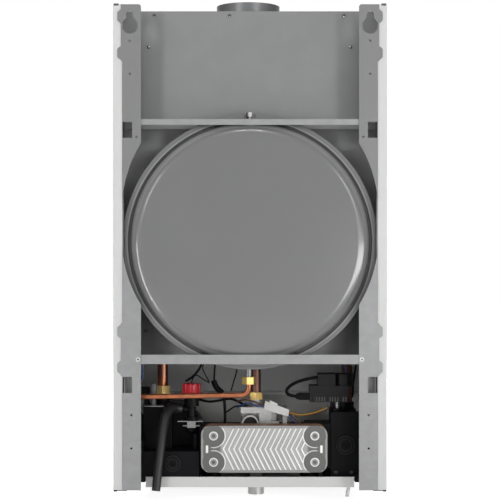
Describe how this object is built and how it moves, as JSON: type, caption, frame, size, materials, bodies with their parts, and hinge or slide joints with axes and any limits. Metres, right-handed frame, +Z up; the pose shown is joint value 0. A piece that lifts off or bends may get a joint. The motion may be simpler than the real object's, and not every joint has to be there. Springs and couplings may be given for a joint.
{
  "type": "wall-hung gas boiler",
  "caption": "Wall-hung combi gas boiler with slotted rear rails, a flat round expansion vessel, sealed fan-flued chamber, plate exchanger, pipe connections and a drop-down control panel.",
  "frame": {"origin": "on the wall plane, midway between the centres of the two keyholes of the rear rails", "axes": "+Z up, +Y out of the back towards the wall, front faces -Y, +X is picture-left"},
  "size_m": [0.41, 0.3004, 0.7747],
  "materials": {
    "white_paint": "smooth stove paint",
    "galvanised": "galvanised sheet",
    "chamber_sheet": "aluminised sheet",
    "flue_metal": "satin",
    "vessel_paint": "gloss grey paint",
    "black_rubber": "matte",
    "brass": "machined",
    "copper": "drawn copper",
    "stainless": "satin",
    "black_moulding": "moulded",
    "motor_paint": "satin paint",
    "actuator_moulding": "moulded",
    "red_moulding": "moulded",
    "white_moulding": "moulded",
    "knob_moulding": "moulded",
    "cast_aluminium": "die cast",
    "clear_moulding": "clear hose",
    "white_ceramic": "matte",
    "dark_window": "tinted window",
    "wire_moulding": "wire insulation"
  },
  "bodies": {
    "frame": {"right_side_panel": "white_paint", "left_side_panel": "white_paint", "bottom_bar": "white_paint", "right_rail": "galvanised", "left_rail": "galvanised", "upper_crossbar": "galvanised", "lower_crossbar": "galvanised", "frame_screws": "galvanised", "chamber_back": "chamber_sheet", "chamber_sides": "chamber_sheet", "chamber_top": "chamber_sheet", "chamber_bottom": "chamber_sheet", "chamber_cover": "chamber_sheet", "flue_collar": "flue_metal", "fan_housing": "flue_metal", "fan_inlet_plate": "flue_metal", "vessel_rear_shell": "vessel_paint", "vessel_front_shell": "vessel_paint", "vessel_diaphragm": "black_rubber", "drain_hose": "black_rubber", "brass_nuts": "brass", "charge_valve": "brass", "gas_stub": "brass", "gas_manifold": "brass", "vessel_tube": "copper", "heating_return_pipe": "copper", "heating_flow_pipe": "copper", "gas_pipe": "copper", "primary_exchanger": "copper", "plate_cover": "stainless", "plate_pack": "stainless", "flue_hood": "stainless", "combustion_box": "stainless", "burner": "stainless", "spring_clips": "stainless", "return_group": "black_moulding", "flow_group": "black_moulding", "safety_valve_body": "black_moulding", "black_leads": "black_moulding", "pump_motor": "motor_paint", "fan_motor": "motor_paint", "diverter_actuator": "actuator_moulding", "air_vent": "actuator_moulding", "valve_connector": "white_moulding", "gas_valve": "cast_aluminium", "clear_hose": "clear_moulding", "electrodes": "white_ceramic", "insulation_boards": "white_ceramic", "colour_leads": "wire_moulding"},
    "cover": {"front_cover": "white_paint"},
    "control_panel": {"control_fascia": "white_moulding", "control_box": "black_moulding", "display_window": "dark_window"},
    "heating_dial": {"heating_knob": "knob_moulding"},
    "hot_water_dial": {"hot_water_knob": "knob_moulding"},
    "reset_push": {"reset_button": "red_moulding"},
    "relief_knob": {"safety_valve_knob": "red_moulding"},
    "fan_wheel": {"fan_impeller": "stainless"},
    "diverter_stem": {"diverter_spindle": "stainless"},
    "charge_cap": {"charge_valve_cap": "white_moulding"}
  },
  "joints": [
    {"name": "cover_slide", "type": "slide", "parent": "frame", "child": "cover", "axis": [0, -1, 0], "range_m": [0, 0.15]},
    {"name": "panel_hinge", "type": "hinge", "parent": "frame", "child": "control_panel", "pos_m": [0, -0.206, -0.688], "axis": [1, 0, 0], "range_deg": [0, 85]},
    {"name": "heating_dial_turn", "type": "hinge", "parent": "control_panel", "child": "heating_dial", "pos_m": [-0.095, -0.285, -0.634], "axis": [0, 1, 0], "range_deg": [-135, 135]},
    {"name": "hot_water_dial_turn", "type": "hinge", "parent": "control_panel", "child": "hot_water_dial", "pos_m": [0.095, -0.285, -0.634], "axis": [0, 1, 0], "range_deg": [-135, 135]},
    {"name": "reset_push_slide", "type": "slide", "parent": "control_panel", "child": "reset_push", "axis": [0, 1, 0], "range_m": [0, 0.002], "stiffness_N_per_m": 400},
    {"name": "relief_knob_turn", "type": "hinge", "parent": "frame", "child": "relief_knob", "pos_m": [0.0908, -0.08, -0.556], "axis": [0, 0, 1], "range_deg": [0, 90]},
    {"name": "fan_spin", "type": "hinge", "parent": "frame", "child": "fan_wheel", "pos_m": [-0.0321, -0.14, -0.099], "axis": [0, 1, 0], "continuous": true},
    {"name": "diverter_stroke", "type": "slide", "parent": "frame", "child": "diverter_stem", "axis": [0, 0, 1], "range_m": [0, 0.006]},
    {"name": "charge_cap_turn", "type": "hinge", "parent": "frame", "child": "charge_cap", "pos_m": [0, -0.019, -0.1314], "axis": [0, 0, 1], "range_deg": [0, 720]}
  ]
}
